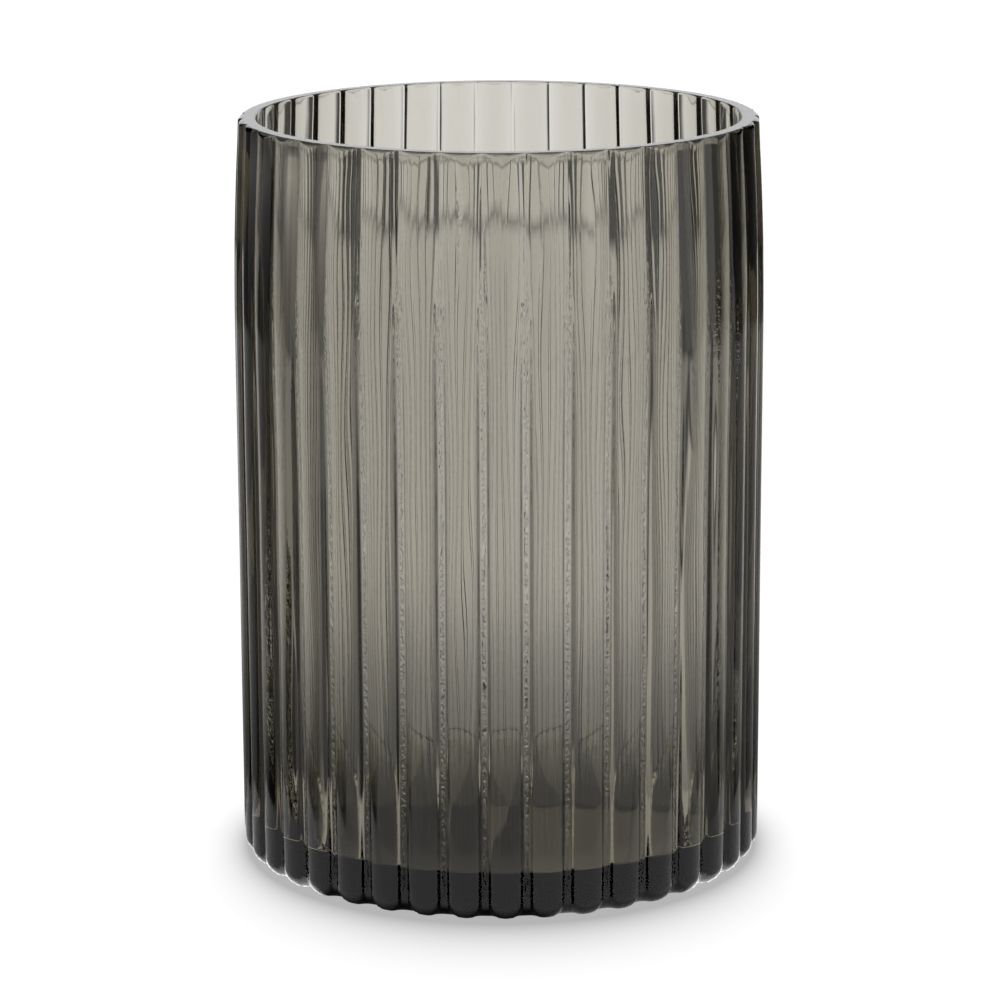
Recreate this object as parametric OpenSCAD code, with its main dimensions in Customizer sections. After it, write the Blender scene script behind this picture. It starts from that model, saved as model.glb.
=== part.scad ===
// Fluted cylinder vase in one thickness of smoked glass.
// The ribs are convex round columns that run the whole height around a smooth round inside.
// The vase is straight, draws in a little below the rim, and stands on a thick solid bottom.
// Frame: +Z up along the vase's axis, origin at the centre of the face that it stands on.
// The four regions of the glass meet face to face and share one outline.

/* [Vase] */
// Height from the table to the top of the rim
height = 200; // [160:1:260]
// Diameter over the crests of the ribs
outer_d = 141; // [120:1:170]
// Thickness of the wall at the crest of a rib
wall_t = 5; // [4:0.5:7]
// Thickness of the solid bottom
base_t = 12; // [9:0.5:16]

/* [Ribs] */
// Number of ribs around the vase
rib_count = 40; // [36:1:44]
// Depth of the groove between two ribs
rib_depth = 2.2; // [1.6:0.1:2.4]
// Radius that rounds the bottom of each groove
groove_fillet_r = 2.1; // [1.8:0.1:2.4]

/* [Edges] */
// Radius that rounds the foot into the standing face
heel_r = 5; // [3:0.5:6]
// Radius of the cove between the wall and the floor inside
cove_r = 0.8; // [0.5:0.1:3]
// Height of the shoulder over which the vase draws in, below the rim
shoulder_h = 53; // [40:1:70]
// How much smaller the radius is at the rim than on the straight wall
shoulder_inset = 1.7; // [0.5:0.1:3]
// Height of the rim, which runs straight up
rim_h = 3; // [2:0.5:5]
// Width of the rounded edge between the rim's flat top and the crests of the ribs
rim_edge_r = 1.5; // [0.5:0.1:1.8]
// Radius of the rim's inner edge
rim_inner_r = 0.5; // [0.2:0.1:1]

/* [Hidden] */

crest_r = outer_d / 2;
inner_r = crest_r - wall_t;
groove_r = crest_r - rib_depth;
half_pitch = 180 / rib_count;        // degrees

// A round groove cutter stands outside each groove. A rib column touches the crest circle and
// runs smoothly into the cutters on both sides of it.
cutter_axis_r = groove_r + groove_fillet_r;
rib_r = (crest_r * crest_r + cutter_axis_r * cutter_axis_r
         - 2 * crest_r * cutter_axis_r * cos(half_pitch) - groove_fillet_r * groove_fillet_r)
        / (2 * (crest_r + groove_fillet_r - cutter_axis_r * cos(half_pitch)));
rib_axis_r = crest_r - rib_r;

// Where a rib runs into a groove, as a point of the outline with the rib's crest on +X
flank_share = rib_r / (rib_r + groove_fillet_r);
flank_x = rib_axis_r + flank_share * (cutter_axis_r * cos(half_pitch) - rib_axis_r);
flank_y = flank_share * cutter_axis_r * sin(half_pitch);
flank_angle = atan2(flank_y, flank_x);
core_r = norm([flank_x, flank_y]) - 0.08;    // the core ends just inside the flanks

foot_clear = 0.03;                   // the foot's rounding ends just outside the crests
rim_z = height - rim_h;
shoulder_z = rim_z - shoulder_h;
rim_scale = 1 - shoulder_inset / crest_r;

// Shoulder facets
points_per_rib = 8;
shoulder_steps = 6;

$fn = 96;

// The outline over the ribs: a round core and a ring of round columns, less the groove cutters.
module ribbed_outline(s)
    difference() {
        union() {
            circle(core_r * s, $fn = 180);
            for (i = [0 : rib_count - 1])
                rotate(i * 2 * half_pitch)
                    translate([rib_axis_r * s, 0]) circle(rib_r * s);
        }
        for (i = [0 : rib_count - 1])
            rotate((2 * i + 1) * half_pitch)
                translate([cutter_axis_r * s, 0]) circle(groove_fillet_r * s);
    }

// The same outline as a radius at an angle, for the drawn-in shoulder.
function fold_angle(a) = abs(a - 2 * half_pitch * round(a / (2 * half_pitch)));
function column_radius(a) =
    rib_axis_r * cos(a) + sqrt(rib_r * rib_r - pow(rib_axis_r * sin(a), 2));
function groove_radius(a) =
    cutter_axis_r * cos(a) - sqrt(groove_fillet_r * groove_fillet_r - pow(cutter_axis_r * sin(a), 2));
function outline_radius(a) =
    let (b = fold_angle(a)) b < flank_angle ? column_radius(b) : groove_radius(half_pitch - b);

// The shoulder leaves the straight wall smoothly and has drawn in fully at the rim.
function shoulder_scale(t) = 1 - (1 - rim_scale) * t * t;
function ring(s, z, inside) = [
    for (i = [0 : rib_count * points_per_rib - 1])
        let (a = i * 360 / (rib_count * points_per_rib),
             r = s * (inside ? inner_r : outline_radius(a)))
        [r * cos(a), r * sin(a), z]
];

// The section that rounds the foot of the base. Above the foot it runs clear of the ribs.
module foot_section()
    union() {
        square([crest_r - heel_r, 2 * base_t]);
        translate([0, heel_r]) square([crest_r + heel_r, 2 * base_t]);
        translate([crest_r - heel_r + foot_clear, heel_r]) circle(heel_r);
    }

module base()
    color([0.19, 0.19, 0.20])
        intersection() {
            linear_extrude(base_t) ribbed_outline(1);
            rotate_extrude($fn = 180) foot_section();
        }

module cove()
    rotate_extrude($fn = 180)
        translate([inner_r - cove_r, base_t])
            difference() {
                square([cove_r + (core_r - inner_r) / 2, cove_r]);
                translate([0, cove_r]) circle(cove_r);
            }

module fluted_wall()
    color([0.50, 0.50, 0.47])
        union() {
            translate([0, 0, base_t])
                linear_extrude(shoulder_z - base_t)
                    difference() {
                        ribbed_outline(1);
                        circle(inner_r, $fn = 180);
                    }
            cove();
        }

module shoulder()
    color([0.58, 0.57, 0.54]) {
        n = rib_count * points_per_rib;
        m = shoulder_steps;
        outside = [for (k = [0 : m])
            each ring(shoulder_scale(k / m), shoulder_z + shoulder_h * k / m, false)];
        inside = [for (k = [0 : m])
            each ring(shoulder_scale(k / m), shoulder_z + shoulder_h * k / m, true)];
        first_inside = n * (m + 1);
        polyhedron(
            points = concat(outside, inside),
            faces = concat(
                [for (k = [0 : m - 1], i = [0 : n - 1])
                    let (j = (i + 1) % n)
                    [k * n + i, (k + 1) * n + i, (k + 1) * n + j, k * n + j]],
                [for (k = [0 : m - 1], i = [0 : n - 1])
                    let (j = (i + 1) % n, f = first_inside)
                    [f + k * n + j, f + (k + 1) * n + j, f + (k + 1) * n + i, f + k * n + i]],
                [for (i = [0 : n - 1])
                    let (j = (i + 1) % n, f = first_inside)
                    [i, j, f + j, f + i]],
                [for (i = [0 : n - 1])
                    let (j = (i + 1) % n, f = first_inside)
                    [f + m * n + i, f + m * n + j, m * n + j, m * n + i]]
            )
        );
    }

// The rim's own section: a flat top with a wide rounded outer edge and a small inner one.
module rim_section() {
    outer = crest_r * rim_scale;
    inner = inner_r * rim_scale;
    union() {
        translate([inner, rim_z]) square([outer - inner, rim_h - rim_edge_r]);
        translate([inner + rim_inner_r, rim_z])
            square([outer - inner - rim_inner_r - rim_edge_r, rim_h]);
        translate([inner + rim_inner_r, height - rim_inner_r]) circle(rim_inner_r);
        translate([inner, rim_z]) square([rim_inner_r * 2, rim_h - rim_inner_r]);
        translate([outer - rim_edge_r, height - rim_edge_r]) circle(rim_edge_r);
    }
}

module rim()
    color([0.78, 0.77, 0.76])
        intersection() {
            translate([0, 0, rim_z]) linear_extrude(rim_h) ribbed_outline(rim_scale);
            rotate_extrude($fn = 180) rim_section();
        }

base();
fluted_wall();
shoulder();
rim();
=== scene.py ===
"""Looks of the fluted smoked-glass vase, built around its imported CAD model.

The vase is one piece of glass, so one closed mesh stands for the CAD's four regions. Its heights,
its radii and the depth of its grooves are read from the frame. The mesh adds what the CAD leaves
out: the finer section of the ribs, the soft edges of moulded glass, its slight waviness and the fine
marks that the mould leaves in the grooves.
"""

import functools
import math

import bpy
import numpy as np
from mathutils import Matrix, Vector


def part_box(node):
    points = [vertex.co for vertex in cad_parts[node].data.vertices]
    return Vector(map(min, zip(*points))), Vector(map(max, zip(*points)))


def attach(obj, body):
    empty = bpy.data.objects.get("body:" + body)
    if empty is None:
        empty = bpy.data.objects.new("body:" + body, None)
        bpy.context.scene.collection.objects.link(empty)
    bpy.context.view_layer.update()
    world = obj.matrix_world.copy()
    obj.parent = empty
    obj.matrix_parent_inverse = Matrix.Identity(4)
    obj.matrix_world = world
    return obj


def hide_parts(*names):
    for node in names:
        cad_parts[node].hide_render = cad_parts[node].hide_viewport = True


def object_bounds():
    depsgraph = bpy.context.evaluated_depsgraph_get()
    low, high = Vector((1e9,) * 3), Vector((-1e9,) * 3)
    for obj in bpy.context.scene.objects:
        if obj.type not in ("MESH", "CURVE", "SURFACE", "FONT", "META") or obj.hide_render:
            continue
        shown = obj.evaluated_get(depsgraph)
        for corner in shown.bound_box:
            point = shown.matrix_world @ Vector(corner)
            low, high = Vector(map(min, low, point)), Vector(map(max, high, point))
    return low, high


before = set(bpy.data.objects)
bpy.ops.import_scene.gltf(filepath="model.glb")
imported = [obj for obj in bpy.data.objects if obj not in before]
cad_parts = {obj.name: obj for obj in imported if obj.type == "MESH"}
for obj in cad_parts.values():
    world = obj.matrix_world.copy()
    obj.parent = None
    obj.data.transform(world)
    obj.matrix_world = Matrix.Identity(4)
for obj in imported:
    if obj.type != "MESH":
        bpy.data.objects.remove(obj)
cad_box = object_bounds()

MM = 0.001

# ---------------------------------------------------------------- the design

# These repeat the CAD's own values, which the frame doesn't list. The rest is read from the frame.
RIBS = 40
HEEL_R = 5 * MM                 # rounds the foot
COVE_R = 0.8 * MM               # between the inside wall and the floor
RIM_EDGE_R = 1.5 * MM           # rim, outer edge
RIM_INNER_R = 0.5 * MM          # rim, inner edge

HEIGHT = cad_box[1].z
CREST_R = cad_box[1].x
FLOOR_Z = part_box("base")[1].z
SHOULDER_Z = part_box("shoulder")[0].z
RIM_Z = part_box("rim")[0].z
RIM_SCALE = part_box("rim")[1].x / CREST_R


def wall_radii():
    """The radius of the inside, and of the bottom of a groove, from the CAD's straight wall."""
    co = np.array([v.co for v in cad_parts["fluted_wall"].data.vertices])
    top_row = co[:, 2] > SHOULDER_Z - 0.1 * MM
    r = np.hypot(co[:, 0], co[:, 1])[top_row]
    inner = r.min()
    return inner, r[r > (inner + CREST_R) / 2].min()


INNER_R, GROOVE_R = wall_radii()
HALF_PITCH = math.pi / RIBS

# ---------------------------------------------------------------- the shape of the glass

# A rib has a rounded face and steep flanks, and the groove between two ribs is flat. Towards the
# rim the face grows rounder and wider until nothing is left of the flat.
FACE_W = 3.95 * MM              # half the width of the face
FACE_SLOPE = 28                 # in degrees, at the edge of the face
FLANK_W = 0.65 * MM
TOP_FACE_W = 5.5 * MM
TOP_FACE_SLOPE = 33
TOP_FLANK_W = 0.05 * MM
TOP_DEPTH = 1.7 * MM
TOP_START, TOP_END = 105 * MM, 170 * MM     # heights between which the face changes
EDGE_SOFT = 0.12 * MM           # how softly face, flank and flat meet
EDGE_SAMPLES = 15               # how many shifted outlines are averaged to soften the edges
CURVE_POINTS = 600              # of the exact outline over half of a rib
BISECTIONS = 30                 # halvings that narrow down the radius of an inset outline
FACE_STEPS = 6
FLANK_STEPS = 3
FLAT_STEPS = 4                  # with the step at the flank's foot
HALF_STEPS = FACE_STEPS + 1 + FLANK_STEPS + FLAT_STEPS
WALL_ROWS = 40                  # rows of faces up the wall, outside
INNER_ROWS = 38
ARC_ROWS = 6                    # rows round a rounded edge
SMALL_ARC_ROWS = 4              # rows round the rim's inner edge and the cove
INNER_POINTS = RIBS * HALF_STEPS
INNER_ANGLE = 2 * math.pi * (np.arange(INNER_POINTS) / INNER_POINTS) - HALF_PITCH
UNDERSIDE_RINGS = (0.35, 0.7, 0.95)     # shares of the radius where the foot's rounding starts
FLOOR_RINGS = (0.99, 0.8, 0.55, 0.3)    # shares of the radius where the cove starts
HEEL_MARGIN = 0.3 * MM          # a row on the flat, this far from the rounded foot, keeps it flat
RIM_MARGIN = 0.2 * MM           # the same beside the rim's rounded edges
SOFT = 0.05 * MM                # how softly the rim's rounded edge meets the ribs
FOOT_FADE = 15 * MM             # height over which all unevenness grows from nothing at the table
INSIDE_FADE = 10 * MM           # the same inside, from the floor up and from the rim down
GAP = 0.25 * MM                 # between the standing face and the table
SHRINK = 0.08 * MM              # keeps the waves of the surface inside the design's size


def fall(across, face_w, slope, flank_w, flank=0.0):
    """How steeply a rib falls away at a distance across from its crest, before softening."""
    face = np.tan(math.radians(slope) * across / face_w)
    steep = np.sign(across) * flank
    away = np.abs(across)
    return np.where(away < face_w, face, np.where(away < face_w + flank_w, steep, 0))


def half_rib(depth, *rib):
    """The outline's radius over half of a rib, from its crest to the middle of the groove.

    rib is the face's half width, its slope at the edge and the flank's width.
    """
    across = RIB_ANGLE * CREST_R
    step = across[1]
    face_drop = fall(across, *rib).sum() * step
    flank = (depth - face_drop) / rib[2]
    offsets = np.linspace(-EDGE_SOFT, EDGE_SOFT, EDGE_SAMPLES)
    soft = np.mean([fall(across + o, *rib, flank) for o in offsets], axis=0)
    drop = np.concatenate([[0], np.cumsum(soft[1:] + soft[:-1]) * step / 2])
    return CREST_R - drop


def stops():
    """The angles of the mesh's points over half of a rib, closest together round the flank."""
    foot = FACE_W + FLANK_W
    across = np.concatenate([np.linspace(0, FACE_W - EDGE_SOFT, FACE_STEPS + 1),
                             np.linspace(FACE_W + EDGE_SOFT, foot - EDGE_SOFT, FLANK_STEPS + 1),
                             np.linspace(foot + EDGE_SOFT, HALF_PITCH * CREST_R, FLAT_STEPS)])
    return across / CREST_R


RIB_ANGLE = np.linspace(0, HALF_PITCH, CURVE_POINTS)
RIB_RADIUS = half_rib(CREST_R - GROOVE_R, FACE_W, FACE_SLOPE, FLANK_W)
STOPS = stops()
TOP_RADIUS = np.interp(
    STOPS, RIB_ANGLE, half_rib(TOP_DEPTH, TOP_FACE_W, TOP_FACE_SLOPE, TOP_FLANK_W))


def polar(radius, angle):
    return np.stack([radius * np.cos(angle), radius * np.sin(angle)], axis=-1)


def turned(points, angle):
    c, s = math.cos(angle), math.sin(angle)
    return points @ np.array([[c, s], [-s, c]])


@functools.cache
def half_outline(inset):
    """The radius at each stop of the outline, set in evenly by inset."""
    if inset == 0:
        return np.interp(STOPS, RIB_ANGLE, RIB_RADIUS)
    rib = polar(np.concatenate([RIB_RADIUS[:0:-1], RIB_RADIUS]),
                np.concatenate([-RIB_ANGLE[:0:-1], RIB_ANGLE]))
    edge = np.concatenate([rib, turned(rib, 2 * HALF_PITCH), turned(rib, -2 * HALF_PITCH)])
    low = np.full(len(STOPS), CREST_R / 2)
    high = np.interp(STOPS, RIB_ANGLE, RIB_RADIUS)
    for _ in range(BISECTIONS):
        middle = (low + high) / 2
        gap = np.linalg.norm(polar(middle, STOPS)[:, None] - edge[None], axis=2).min(axis=1)
        low = np.where(gap > inset, middle, low)
        high = np.where(gap > inset, high, middle)
    return low


def outline(inset, top):
    """The outline, set in evenly by inset, as points round the vase. top is the rim's share."""
    half = polar(half_outline(inset) * (1 - top) + TOP_RADIUS * top, STOPS)
    rib = np.concatenate([half[:0:-1] * (1, -1), half[:-1]])
    return np.concatenate([turned(rib, 2 * HALF_PITCH * i) for i in range(RIBS)])


def smooth(x, low, high):
    """0 up to low, 1 from high, eased between them."""
    t = min(1, max(0, (x - low) / (high - low)))
    return t * t * (3 - 2 * t)


def narrowing(z):
    """Scale of the whole section at a height: 1 up to the shoulder, then smoothly smaller."""
    t = np.clip((z - SHOULDER_Z) / (RIM_Z - SHOULDER_Z), 0, 1)
    return 1 - (1 - RIM_SCALE) * t * t


def arc(radius, start, end, n=ARC_ROWS):
    """(across, up) pairs on a circle from angle start to angle end, both ends included."""
    return [(radius * math.cos(t), radius * math.sin(t)) for t in np.linspace(start, end, n + 1)]


class Waves:
    """Long shallow waves over the glass, as a sum of sines with seeded phases.

    round_waves bounds how many waves go round the vase, and height_mm how long they are up it.
    """

    def __init__(self, seed, count, round_waves, height_mm, depth):
        rng = np.random.default_rng(seed)
        self.n = rng.integers(*round_waves, count)
        self.k = 2 * math.pi / (rng.uniform(*height_mm, count) * MM) * rng.choice((-1, 1), count)
        self.phase = rng.uniform(0, 2 * math.pi, count)
        self.depth = depth / math.sqrt(count)

    def at(self, angle, z):
        return self.depth * sum(
            np.sin(n * angle + k * z + p) for n, k, p in zip(self.n, self.k, self.phase))


inside_waves = Waves(seed=7, count=16, round_waves=(8, 70), height_mm=(50, 300), depth=0.07 * MM)
outside_waves = Waves(seed=11, count=10, round_waves=(5, 40), height_mm=(70, 400), depth=0.03 * MM)

FILL_TOP = 0.03                 # how much shallower the grooves are at the rim, as a share
FILL_CURVE = 1.3                # the power with which that grows from the shoulder up
FILL_WAVE = 0.06                # how much one groove's depth varies up its height
FILL_WAVES = 3
FILL_LENGTH = (35, 160)         # shortest and longest wave of that, in mm


class GrooveFill:
    """How far each groove is from its full depth, at a height: more near the rim, less below."""

    def __init__(self, seed):
        rng = np.random.default_rng(seed)
        self.phase = rng.uniform(0, 2 * math.pi, (FILL_WAVES, RIBS))
        self.k = 2 * math.pi / (rng.uniform(*FILL_LENGTH, (FILL_WAVES, RIBS)) * MM)

    def at(self, angle, z):
        share = angle / (2 * HALF_PITCH) - 0.5
        groove = np.round(share).astype(int) % RIBS
        depth = (1 + np.cos(2 * math.pi * (share - np.round(share)))) / 2
        wave = np.sin(self.k * z + self.phase).mean(axis=0)
        top = np.clip((z - SHOULDER_Z) / (HEIGHT - SHOULDER_Z), 0, 1) ** FILL_CURVE
        fill = FILL_TOP * top + FILL_WAVE * (1 + wave)
        return (CREST_R - GROOVE_R) * fill[groove] * depth


groove_fill = GrooveFill(seed=5)


def outside_row(z, inset, limit=None):
    """A row of the outside at height z, no further out than limit, which rounds the rim's edge."""
    xy = outline(inset, smooth(z, TOP_START, TOP_END)) * narrowing(z)
    angle = np.arctan2(xy[:, 1], xy[:, 0])
    r = np.hypot(xy[:, 0], xy[:, 1])
    fade = min(1, z / FOOT_FADE)
    r = r + fade * groove_fill.at(angle, z) - SHRINK + fade * outside_waves.at(angle, z)
    if limit is not None:
        r = limit - SOFT * np.logaddexp(0, (limit - r) / SOFT)
    return np.stack([r * np.cos(angle), r * np.sin(angle), np.full_like(r, z)], axis=1)


def outside():
    """Rows from the standing face up to the rim's flat."""
    rows = [outside_row(0.0, HEEL_R + HEEL_MARGIN)]
    for across, up in arc(HEEL_R, math.pi / 2, 0):
        rows.append(outside_row(HEEL_R - up, HEEL_R - across))
    top = HEIGHT - RIM_EDGE_R
    for z in np.linspace(HEEL_R, top, WALL_ROWS + 1)[1:]:
        rows.append(outside_row(z, 0))
    edge_r = CREST_R * RIM_SCALE - RIM_EDGE_R
    for across, up in arc(RIM_EDGE_R, 0, math.pi / 2)[1:]:
        rows.append(outside_row(top + up, 0, edge_r + across))
    rows.append(outside_row(HEIGHT, RIM_MARGIN, edge_r - RIM_MARGIN))
    return rows


def ring(r, z):
    """A plain round row, inside or on the underside. r is one radius or one for each point."""
    x, y = r * np.cos(INNER_ANGLE), r * np.sin(INNER_ANGLE)
    return np.stack([x, y, np.full_like(INNER_ANGLE, z)], axis=1)


THICKER_H = 34 * MM             # height over which the wall thickens towards the floor
THICKER = 1.2 * MM


def inside():
    """Rows from the rim's flat down to the floor."""
    top = HEIGHT - RIM_INNER_R
    edge_r = INNER_R * RIM_SCALE + RIM_INNER_R
    rows = [ring(edge_r + RIM_MARGIN, HEIGHT)]
    for across, up in arc(RIM_INNER_R, math.pi / 2, 0, SMALL_ARC_ROWS):
        rows.append(ring(edge_r - across, top + up))
    foot = FLOOR_Z + COVE_R
    for z in np.linspace(top, foot, INNER_ROWS + 1)[1:]:
        fade = min(1, (top - z) / INSIDE_FADE, (z - foot) / INSIDE_FADE)
        thicker = THICKER * max(0, 1 - (z - foot) / THICKER_H) ** 2
        waves = fade * inside_waves.at(INNER_ANGLE, z)
        rows.append(ring(INNER_R * narrowing(z) - thicker + waves, z))
    cove_r = INNER_R - THICKER - COVE_R
    for across, up in arc(COVE_R, 0, -math.pi / 2, SMALL_ARC_ROWS)[1:]:
        rows.append(ring(cove_r + across, foot + up))
    for share in FLOOR_RINGS:
        rows.append(ring(share * cove_r, FLOOR_Z))
    return rows


def between(low, n, high, m):
    """Faces between a row of n points at low and a row of m points at high: m is n or half of n."""
    if n == m:
        return [(low + i, low + (i + 1) % n, high + (i + 1) % n, high + i) for i in range(n)]
    faces = []
    for i in range(m):
        a, b, c = low + 2 * i, low + 2 * i + 1, low + (2 * i + 2) % n
        p, q = high + i, high + (i + 1) % m
        faces += [(a, b, p), (b, q, p), (b, c, q)]
    return faces


def glass_mesh():
    """The whole vase as one closed mesh, with an attribute that marks the grooves' bottoms."""
    underside = [ring(share * (GROOVE_R - HEEL_R), 0.0) for share in UNDERSIDE_RINGS]
    rows = underside + outside() + inside()
    starts = np.cumsum([0] + [len(row) for row in rows])
    faces = []
    for k in range(len(rows) - 1):
        n, m = len(rows[k]), len(rows[k + 1])
        if m > n:
            faces += [f[::-1] for f in between(starts[k + 1], m, starts[k], n)]
        else:
            faces += between(starts[k], n, starts[k + 1], m)
    co = np.concatenate(rows + [[[0, 0, 0], [0, 0, FLOOR_Z]]])
    bottom, top = starts[-1], starts[-1] + 1
    last = starts[-2]
    n = INNER_POINTS
    faces += [(bottom, (i + 1) % n, i) for i in range(n)]
    faces += [(last + i, last + (i + 1) % n, top) for i in range(n)]
    mesh = bpy.data.meshes.new("vase_glass")
    mesh.from_pydata(co.tolist(), [], [[int(i) for i in f] for f in faces])
    mesh.update()
    mesh.shade_smooth()
    mark_grooves(mesh, co)
    return mesh


MARK_HALF_W = 0.4 * MM          # half the width of the mould's marks, where they are half as high
MARK_TOP = 172 * MM             # they fade out below this height, over MARK_FADE
MARK_FADE = 20 * MM
MARK_STRENGTH = 1.0
MARK_HEIGHT = 0.2 * MM
MARK_SIZE = 0.6 * MM            # of one speck across the groove
MARK_STRETCH = 2                # how much taller than wide a speck is
MARK_EDGE = (0.42, 0.62)        # the noise values between which a speck rises


def mark_grooves(mesh, co):
    """Writes groove: 1 along the bottom of each outside groove, falling to 0 beside it."""
    angle = np.arctan2(co[:, 1], co[:, 0])
    share = angle / (2 * HALF_PITCH) - 0.5
    away = np.abs(share - np.round(share)) * 2 * HALF_PITCH * GROOVE_R
    r = np.hypot(co[:, 0], co[:, 1])
    outside_wall = r > (INNER_R + GROOVE_R) / 2 * narrowing(co[:, 2])
    outside_wall &= (co[:, 2] > HEEL_R) & (co[:, 2] < HEIGHT - RIM_EDGE_R)
    fade = np.clip((MARK_TOP - co[:, 2]) / MARK_FADE, 0, 1)
    value = np.clip(1.5 - away / MARK_HALF_W, 0, 1) * fade * outside_wall
    mesh.attributes.new("groove", "FLOAT", "POINT").data.foreach_set(
        "value", value.astype(np.float32))


# ---------------------------------------------------------------- materials

ABSORPTION = (92.0, 98.0, 117.0)        # of red, green and blue, for each metre of glass
IOR = 1.5
RIM_ROUGHNESS = (0.05, 0.16)    # the flat of the rim is ground and polished, a little unevenly
RIM_GRAIN = 0.8 * MM            # size of the uneven patches
RIM_GRAIN_EDGE = (0.3, 0.7)     # the noise values between which the roughness rises
RIM_FLAT = (0.25 * MM, 0.05 * MM)       # how far below the top the flat's roughness sets in


class Nodes:
    """Short ways to build one material's or world's node tree."""

    def __init__(self, tree):
        self.tree = tree
        self.tree.nodes.clear()

    def add(self, kind, **settings):
        node = self.tree.nodes.new(kind)
        for key, value in settings.items():
            setattr(node, key, value)
        return node

    def link(self, source, target):
        self.tree.links.new(source, target)

    def value(self, socket, x):
        """Sets an input to a number, or links it to another node's output."""
        if isinstance(x, (int, float)):
            socket.default_value = x
        else:
            self.link(x, socket)

    def math(self, operation, a, b=0.0):
        node = self.add("ShaderNodeMath", operation=operation)
        self.value(node.inputs[0], a)
        self.value(node.inputs[1], b)
        return node.outputs[0]

    def ramp(self, x, low, high, out_low=0.0, out_high=1.0):
        """x from low to high as out_low to out_high, eased and clamped."""
        node = self.add("ShaderNodeMapRange", interpolation_type="SMOOTHSTEP")
        self.link(x, node.inputs["Value"])
        node.inputs["From Min"].default_value = low
        node.inputs["From Max"].default_value = high
        node.inputs["To Min"].default_value = out_low
        node.inputs["To Max"].default_value = out_high
        return node.outputs["Result"]

    def noise(self, size):
        """Noise whose features are about size across."""
        node = self.add("ShaderNodeTexNoise")
        node.inputs["Scale"].default_value = 1 / size
        return node


def mould_marks(n, place):
    """The normal of the surface with fine specks along the bottoms of the grooves."""
    stretch = n.add("ShaderNodeMapping")
    stretch.inputs["Scale"].default_value = (1, 1, 1 / MARK_STRETCH)
    n.link(place, stretch.inputs[0])
    specks = n.noise(MARK_SIZE)
    n.link(stretch.outputs[0], specks.inputs["Vector"])
    groove = n.add("ShaderNodeAttribute", attribute_name="groove")
    marks = n.math("MULTIPLY", groove.outputs["Fac"], n.ramp(specks.outputs[0], *MARK_EDGE))
    bump = n.add("ShaderNodeBump")
    bump.inputs["Strength"].default_value = MARK_STRENGTH
    bump.inputs["Distance"].default_value = MARK_HEIGHT
    n.link(marks, bump.inputs["Height"])
    return bump.outputs[0]


def rim_roughness(n, place):
    """0 on the clear glass, and a fine uneven roughness on the flat of the rim."""
    position = n.add("ShaderNodeSeparateXYZ")
    n.link(place, position.inputs[0])
    on_rim = n.ramp(position.outputs["Z"], HEIGHT - RIM_FLAT[0], HEIGHT - RIM_FLAT[1])
    grain = n.ramp(n.noise(RIM_GRAIN).outputs[0], *RIM_GRAIN_EDGE, *RIM_ROUGHNESS)
    return n.math("MULTIPLY", on_rim, grain)


def smoked_glass():
    mat = bpy.data.materials.new("smoked_glass")
    mat.use_nodes = True
    n = Nodes(mat.node_tree)
    out = n.add("ShaderNodeOutputMaterial")
    glass = n.add("ShaderNodeBsdfPrincipled")
    glass.inputs["Base Color"].default_value = (1, 1, 1, 1)
    glass.inputs["Transmission Weight"].default_value = 1.0
    glass.inputs["IOR"].default_value = IOR
    n.link(glass.outputs[0], out.inputs["Surface"])

    place = n.add("ShaderNodeTexCoord")
    n.link(mould_marks(n, place.outputs["Object"]), glass.inputs["Normal"])
    n.link(rim_roughness(n, place.outputs["Object"]), glass.inputs["Roughness"])

    smoke = n.add("ShaderNodeVolumeAbsorption")
    most = max(ABSORPTION)
    smoke.inputs["Color"].default_value = (*[1 - x / most for x in ABSORPTION], 1)
    smoke.inputs["Density"].default_value = most
    n.link(smoke.outputs[0], out.inputs["Volume"])
    return mat


# ---------------------------------------------------------------- studio

# The glass shows a white table and white sweeps behind it in a dark studio. Lengths are in metres
# and directions in degrees round Z. White is 1.
FRONT, RIGHT, BACK = 88, 180, -45       # where the views from the front, right and back left look
# The table glows: its lit parts, pools, dim rest, the vase's shadow and the glints under the foot
# are painted light and shade.
TABLE_LIGHT = 0.9
TABLE_R = 1.0                   # how far the painted lit part of the table reaches
TABLE_HALF = 32                 # half its width in directions, seen from the front
SWEEP_LIGHT = 1.0               # the sweeps beyond the table
SWEEP_HALF = 20
NARROW_HALF = 24                # half the width of the other sweeps
POOL_LIGHT = 0.42               # a dimmer pool of light painted on the table to both sides of its lit part
POOL_HALF = 92
POOL_R = 0.8
SIDE_LIGHT = 0.15               # the right sweep starts dim near the vase
SIDE_R = (0.5, 3.0)             # where it starts, and where it is fully lit
BACK_R = 0.8
BACK_HALF = 35
NEAR, NEAR_HALF = -90, 55       # what the front of the glass mirrors
NEAR_LIGHT = 0.55
FOOT_HALF, FOOT_R = 105, 0.13   # light painted on the table round the foot, apart from behind it
FOOT_LIGHT = 0.65
SHADOW_LIGHT = 0.37             # the vase's shadow, painted on the table where the glass sees it
SHADOW_R = (0.07, 0.33)
DIM = 0.08                      # the rest of the table, painted dim as if unlit
DARK = 0.0                      # the unlit studio
SWEEP_TOP = 16                  # how high the sweeps reach above the table, in degrees
SWEEP_TOP_LIGHT = 1.4
OVERHEAD = 22                   # above this height in degrees the studio's ceiling glows
OVERHEAD_LIGHT = 0.45
GLINTS = (-12, 192)             # where light is painted on the table under the rounded foot, which the heel shows as glints
GLINT_HALF = 32
GLINT_R = (0.064, 0.072)
GLINT_LIGHT = 2.2
CONTACT = 0.6                   # painted shadow: how much darker the camera sees the table right at the foot
CONTACT_R = CREST_R - 1 * MM    # where it is darkest
CONTACT_W = 5 * MM              # how soon that falls off beside the vase
CONTACT_FRONT_W = 13 * MM       # how much later it does so in front
SEEN_TABLE = 1.06               # the table and the background as the camera sees them
SEEN_SKY = 1.1
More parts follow.
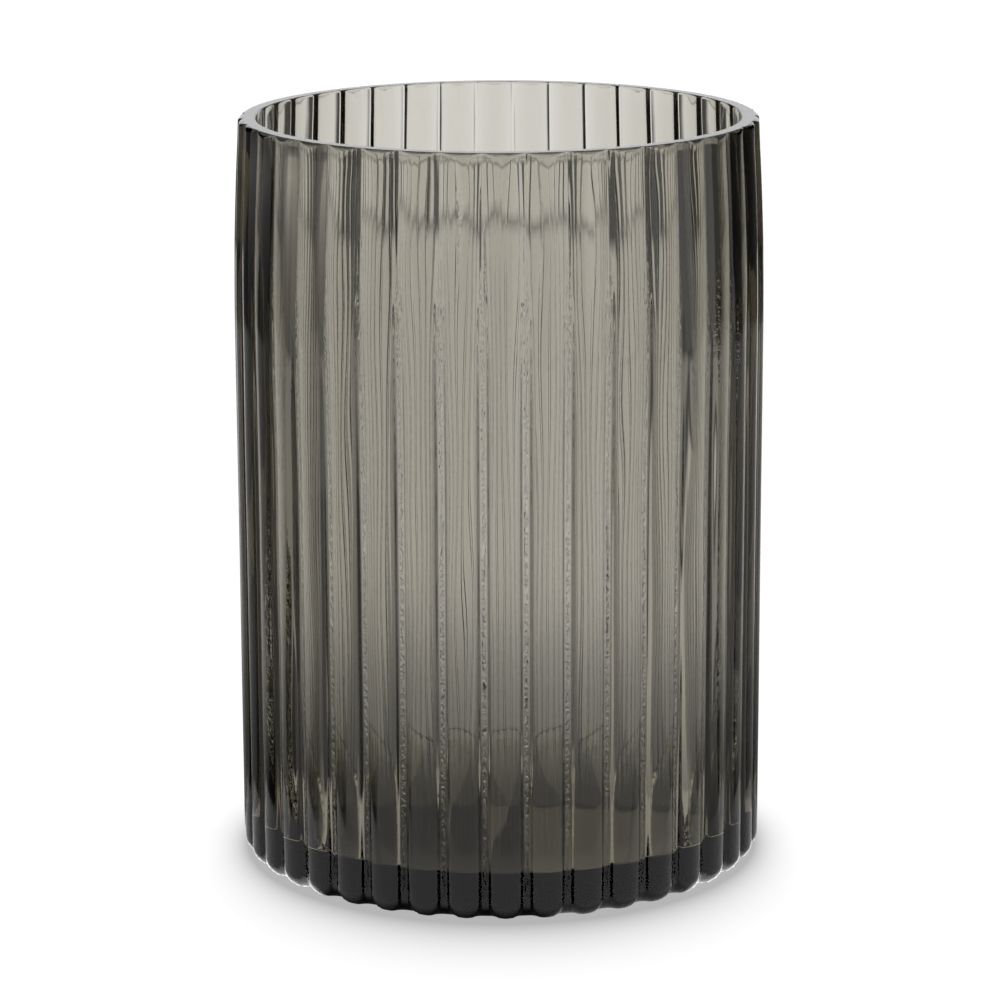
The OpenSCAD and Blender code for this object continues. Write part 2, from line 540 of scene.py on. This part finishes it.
SIDE_SOFT = 3                   # half the width of a light's soft side, in degrees
TOP_SOFT = 2                    # the same for a light's top or bottom
END_SOFT = 0.05                 # the same for a light's near or far end, as a share of its radius
TABLE_EXTENT = 6.0              # of the table, from its middle to each side


def directions(n, x, y, centre, half):
    """1 within half of the direction centre, 0 outside, with soft sides."""
    off = n.math("SUBTRACT", n.math("ARCTAN2", y, x), math.radians(centre))
    off = n.math("WRAP", off, math.pi)
    off.node.inputs[2].default_value = -math.pi
    off = n.math("ABSOLUTE", off)
    return n.ramp(off, math.radians(half + SIDE_SOFT), math.radians(half - SIDE_SOFT))


def between_radii(n, away, low, high):
    """1 from radius low to radius high, with soft ends. Either may be None."""
    mask = 1.0
    if low is not None:
        mask = n.ramp(away, low * (1 - END_SOFT), low * (1 + END_SOFT))
    if high is not None:
        within = n.ramp(away, high * (1 + END_SOFT), high * (1 - END_SOFT))
        mask = n.math("MULTIPLY", within, mask)
    return mask


def above(n, up, elevation, strength=1.0):
    """strength for directions above an elevation in degrees and 0 below it, with a soft edge."""
    return n.ramp(up, math.sin(math.radians(elevation - TOP_SOFT)),
                  math.sin(math.radians(elevation + TOP_SOFT)), 0.0, strength)


def studio_world():
    """The sweeps and the ceiling, as the glass shows them. The camera sees plain white."""
    world = bpy.data.worlds.new("studio")
    bpy.context.scene.world = world
    world.use_nodes = True
    n = Nodes(world.node_tree)
    out = n.add("ShaderNodeOutputWorld")
    sky = n.add("ShaderNodeBackground")
    n.link(sky.outputs[0], out.inputs[0])
    place = n.add("ShaderNodeTexCoord")
    d = n.add("ShaderNodeSeparateXYZ")
    n.link(place.outputs["Generated"], d.inputs[0])
    light = DARK
    for centre, half, strength in (
            (FRONT, SWEEP_HALF, SWEEP_TOP_LIGHT), (RIGHT, NARROW_HALF, SWEEP_TOP_LIGHT),
            (BACK, NARROW_HALF, SWEEP_TOP_LIGHT), (NEAR, NEAR_HALF, NEAR_LIGHT)):
        mask = directions(n, d.outputs["X"], d.outputs["Y"], centre, half)
        light = n.math("MAXIMUM", n.math("MULTIPLY", mask, strength), light)
    below_top = n.math("SUBTRACT", 1.0, above(n, d.outputs["Z"], SWEEP_TOP))
    light = n.math("MULTIPLY", light, below_top)
    light = n.math("MAXIMUM", light, above(n, d.outputs["Z"], OVERHEAD, OVERHEAD_LIGHT))
    seen = n.add("ShaderNodeLightPath")
    direct = n.math("MULTIPLY", seen.outputs["Is Camera Ray"], SEEN_SKY)
    n.link(n.math("MAXIMUM", light, direct), sky.inputs["Strength"])


def brightest(n, x, y, away, windows, light):
    """The brightest of some windows: (centre, half, low radius, high radius, brightness)."""
    for centre, half, low, high, strength in windows:
        mask = n.math("MULTIPLY", directions(n, x, y, centre, half),
                      between_radii(n, away, low, high))
        light = n.math("MAXIMUM", n.math("MULTIPLY", mask, strength), light)
    return light


def table_light(n, x, y, away):
    """How bright the glass shows the table to be at a place: light and shade painted on it."""
    side = n.ramp(away, *SIDE_R, SIDE_LIGHT, SWEEP_LIGHT)
    behind = brightest(n, x, y, away, (
        (FRONT, TABLE_HALF, None, TABLE_R, TABLE_LIGHT),
        (FRONT, SWEEP_HALF, TABLE_R, None, SWEEP_LIGHT),
        (FRONT, POOL_HALF, None, POOL_R, POOL_LIGHT),
        (RIGHT, NARROW_HALF, SIDE_R[0], None, side),
        (BACK, BACK_HALF, None, BACK_R, TABLE_LIGHT),
        (BACK, NARROW_HALF, BACK_R, None, SWEEP_LIGHT)), DIM)
    # the vase's painted shadow: the table darkens towards the foot
    shadow = n.ramp(away, *SHADOW_R, SHADOW_LIGHT / TABLE_LIGHT, 1.0)
    # painted light in a thin ring under the foot, which the heel shows as glints
    glints = [(centre, GLINT_HALF, *GLINT_R, GLINT_LIGHT) for centre in GLINTS]
    return brightest(n, x, y, away, (
        *glints,
        (NEAR, NEAR_HALF, CREST_R, None, NEAR_LIGHT),
        (NEAR, FOOT_HALF, CREST_R, FOOT_R, FOOT_LIGHT)), n.math("MULTIPLY", behind, shadow))


def painted_foot_shadow(n, y, away):
    """How bright the camera sees the table, with a painted shadow that darkens it towards the foot,
    further off in front.
    """
    front = n.math("MAXIMUM", n.math("DIVIDE", n.math("MULTIPLY", y, -1.0), away), 0.0)
    width = n.math("ADD", n.math("MULTIPLY", n.math("MULTIPLY", front, front), CONTACT_FRONT_W),
                   CONTACT_W)
    gap = n.math("DIVIDE", n.math("SUBTRACT", CONTACT_R, away), width)
    dimming = n.math("EXPONENT", n.math("MINIMUM", gap, 0.0))
    return n.math("SUBTRACT", SEEN_TABLE, n.math("MULTIPLY", dimming, CONTACT))


def table():
    """The white floor, an emitting surface. The camera sees it evenly bright, apart from a soft
    painted shadow at the foot.
    """
    mesh = bpy.data.meshes.new("table")
    corners = [(x * TABLE_EXTENT, y * TABLE_EXTENT, -GAP)
               for x, y in ((-1, -1), (1, -1), (1, 1), (-1, 1))]
    mesh.from_pydata(corners, [], [(0, 1, 2, 3)])
    obj = bpy.data.objects.new("table", mesh)
    bpy.context.scene.collection.objects.link(obj)
    mat = bpy.data.materials.new("table")
    mat.use_nodes = True
    n = Nodes(mat.node_tree)
    out = n.add("ShaderNodeOutputMaterial")
    place = n.add("ShaderNodeTexCoord")
    at = n.add("ShaderNodeSeparateXYZ")
    n.link(place.outputs["Object"], at.inputs[0])
    x, y = at.outputs["X"], at.outputs["Y"]
    away = n.math("SQRT", n.math("ADD", n.math("MULTIPLY", x, x), n.math("MULTIPLY", y, y)))
    seen = n.add("ShaderNodeLightPath")
    surface = n.add("ShaderNodeEmission")
    strength = n.add("ShaderNodeMix")
    n.link(seen.outputs["Is Camera Ray"], strength.inputs["Factor"])
    n.link(table_light(n, x, y, away), strength.inputs["A"])
    n.link(painted_foot_shadow(n, y, away), strength.inputs["B"])
    n.link(strength.outputs["Result"], surface.inputs["Strength"])
    n.link(surface.outputs[0], out.inputs["Surface"])
    mesh.materials.append(mat)


CAMERA_DISTANCE = 1.062         # from the vase's middle, in metres
CAMERA_ELEVATION = 13.48        # degrees above the vase's middle
CAMERA_TURN = -1.0              # degrees round Z, which puts a rib just right of the middle
CAMERA_ROLL = -0.2
AIM_SHARE = 0.4775              # of the vase's height
SENSOR, LENS = 36.0, 142.0      # in mm
CLIP = (0.01, 50)


def camera():
    cam = bpy.data.objects.new("camera", bpy.data.cameras.new("camera"))
    bpy.context.scene.collection.objects.link(cam)
    e, t = math.radians(CAMERA_ELEVATION), math.radians(CAMERA_TURN)
    away = Vector((math.sin(t) * math.cos(e), -math.cos(t) * math.cos(e), math.sin(e)))
    where = Vector((0, 0, HEIGHT / 2)) + away * CAMERA_DISTANCE
    look = (Vector((0, 0, HEIGHT * AIM_SHARE)) - where).to_track_quat("-Z", "Y").to_matrix()
    roll = Matrix.Rotation(math.radians(CAMERA_ROLL), 3, "Z")
    cam.matrix_world = Matrix.Translation(where) @ (look @ roll).to_4x4()
    cam.data.sensor_width, cam.data.lens = SENSOR, LENS
    cam.data.clip_start, cam.data.clip_end = CLIP
    bpy.context.scene.camera = cam
    bpy.context.scene.view_settings.view_transform = "Standard"


BOUNCES = 24                    # enough for rays that run round inside the wall
MIRROR_BOUNCES = 16


def light_paths():
    cycles = bpy.context.scene.cycles
    cycles.max_bounces = BOUNCES
    cycles.transmission_bounces = BOUNCES
    cycles.glossy_bounces = MIRROR_BOUNCES


def vase():
    obj = bpy.data.objects.new("vase_glass", glass_mesh())
    bpy.context.scene.collection.objects.link(obj)
    obj.data.materials.append(smoked_glass())
    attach(obj, "root")
    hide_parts("base", "fluted_wall", "shoulder", "rim")


camera()
vase()
table()
studio_world()
light_paths()
